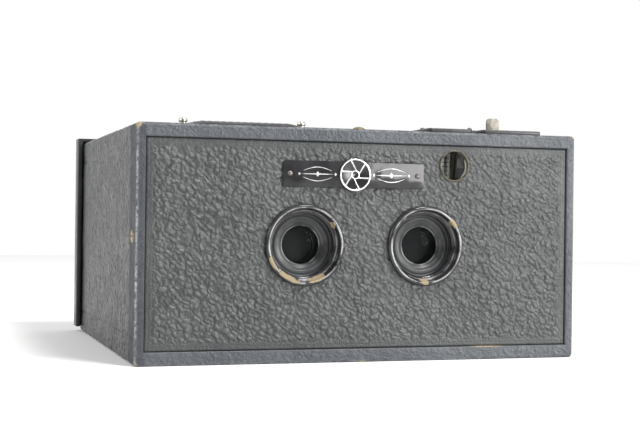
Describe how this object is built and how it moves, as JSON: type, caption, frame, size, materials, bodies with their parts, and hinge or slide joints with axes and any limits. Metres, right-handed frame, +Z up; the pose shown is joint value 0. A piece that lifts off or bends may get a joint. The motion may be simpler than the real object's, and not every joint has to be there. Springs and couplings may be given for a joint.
{
  "type": "stereo box camera",
  "caption": "Box-form stereo roll-film camera: twin front lenses, top lever shutter, reflecting finder, strap handle and hinged lid-type back.",
  "frame": {"origin": "centre of the bounding box at the bottom face that the camera stands on", "axes": "+X to the right seen from the front, +Y from the lenses to the back door, +Z up"},
  "size_m": [0.1622, 0.142, 0.0855],
  "materials": {
    "case_board": "raw grey-brown board",
    "leatherette": "pebbled black leatherette, worn",
    "black_card": "matt black lining",
    "wood": "plain softwood",
    "black_enamel": "gloss black enamel",
    "black_lacquer": "semi-matt black lacquer",
    "brass": "aged brass",
    "nickel": "worn nickel plate",
    "steel": "plain sheet steel",
    "glass": "clear",
    "ground_glass": "ground",
    "mirror": "silvered",
    "strap_leather": "smooth black strap leather",
    "ruby": "ruby celluloid",
    "felt": "black felt"
  },
  "bodies": {
    "camera": {"top_board": "case_board", "bottom_board": "case_board", "side_boards": "case_board", "top_covering": "leatherette", "bottom_covering": "leatherette", "side_coverings": "leatherette", "front_rim": "leatherette", "front_panel": "case_board", "front_covering": "leatherette", "front_battens": "wood", "frame_screws": "brass", "name_plate": "black_enamel", "medallion": "nickel", "left_lens_bezel": "black_enamel", "right_lens_bezel": "black_enamel", "left_lens_mount": "black_lacquer", "right_lens_mount": "black_lacquer", "left_lens": "glass", "right_lens": "glass", "shutter_plate": "black_lacquer", "stop_plate": "black_lacquer", "shutter_posts": "steel", "shutter_spring": "steel", "finder_housing": "black_lacquer", "finder_mirror": "mirror", "finder_lens": "glass", "finder_lens_ring": "brass", "finder_screen": "ground_glass", "finder_frame": "black_lacquer", "lever_plate": "black_lacquer", "plate_rivets": "nickel", "handle_strap": "strap_leather", "handle_studs": "nickel", "knob_plate": "nickel", "spool_pins": "steel", "septum": "black_card", "chamber_walls": "black_card", "film_gate": "black_lacquer", "roller_brackets": "steel", "case_hinge_leaf": "steel", "hinge_pin": "steel", "latch_pivot": "nickel"},
    "release_lever": {"release_lever": "nickel"},
    "shutter_bar": {"shutter_bar": "steel"},
    "left_shutter_blade": {"left_shutter_blade": "steel"},
    "right_shutter_blade": {"right_shutter_blade": "steel"},
    "key_collar": {"key_collar": "steel"},
    "winding_key": {"winding_knob": "nickel", "winding_shaft": "steel"},
    "take_up_spool": {"take_up_spool": "wood"},
    "left_guide_roller": {"left_guide_roller": "steel"},
    "right_guide_roller": {"right_guide_roller": "steel"},
    "back_door": {"back_door": "black_lacquer", "door_covering": "leatherette", "red_window": "ruby", "window_ring": "nickel", "pressure_plate": "felt", "door_hinge_leaf": "steel", "latch_stud": "nickel"},
    "door_latch": {"door_latch": "nickel"}
  },
  "joints": [
    {"name": "lever_swing", "type": "hinge", "parent": "camera", "child": "release_lever", "pos_m": [0.0574, -0.0583, 0.044], "axis": [0, 1, 0], "range_deg": [0, 18], "stiffness_Nm_per_rad": 0.02, "springref_deg": -2.86},
    {"name": "bar_slide", "type": "slide", "parent": "camera", "child": "shutter_bar", "axis": [1, 0, 0], "range_m": [-0.0084, 0], "deforming": ["shutter_spring"]},
    {"name": "left_blade_turn", "type": "hinge", "parent": "camera", "child": "left_shutter_blade", "pos_m": [-0.02165, -0.0583, 0.0235], "axis": [0, 1, 0], "range_deg": [0, 72]},
    {"name": "right_blade_turn", "type": "hinge", "parent": "camera", "child": "right_shutter_blade", "pos_m": [0.02165, -0.0583, 0.0235], "axis": [0, 1, 0], "range_deg": [0, 72]},
    {"name": "key_pull", "type": "slide", "parent": "camera", "child": "key_collar", "axis": [0, 0, 1], "range_m": [0, 0.0055]},
    {"name": "key_turn", "type": "hinge", "parent": "key_collar", "child": "winding_key", "pos_m": [0.0623, 0.0456, 0.08], "axis": [0, 0, 1], "continuous": true},
    {"name": "take_up_turn", "type": "hinge", "parent": "camera", "child": "take_up_spool", "pos_m": [0.0623, 0.0456, 0.04], "axis": [0, 0, 1], "continuous": true},
    {"name": "left_roller_turn", "type": "hinge", "parent": "camera", "child": "left_guide_roller", "pos_m": [-0.051, 0.0596, 0.04], "axis": [0, 0, 1], "continuous": true},
    {"name": "right_roller_turn", "type": "hinge", "parent": "camera", "child": "right_guide_roller", "pos_m": [0.051, 0.0596, 0.04], "axis": [0, 0, 1], "continuous": true},
    {"name": "door_swing", "type": "hinge", "parent": "camera", "child": "back_door", "pos_m": [0, 0.0671, 0.0016], "axis": [-1, 0, 0], "range_deg": [0, 90]},
    {"name": "latch_turn", "type": "hinge", "parent": "camera", "child": "door_latch", "pos_m": [0, 0.0536, 0.0816], "axis": [0, 0, 1], "range_deg": [0, 35]}
  ],
  "couplings": [
    {"joint": "bar_slide", "follows": "lever_swing", "m_per_rad": -0.026483},
    {"joint": "left_blade_turn", "follows": "lever_swing", "ratio": 3.9889},
    {"joint": "right_blade_turn", "follows": "lever_swing", "ratio": 3.9889},
    {"joint": "take_up_turn", "follows": "key_turn", "ratio": 1}
  ]
}
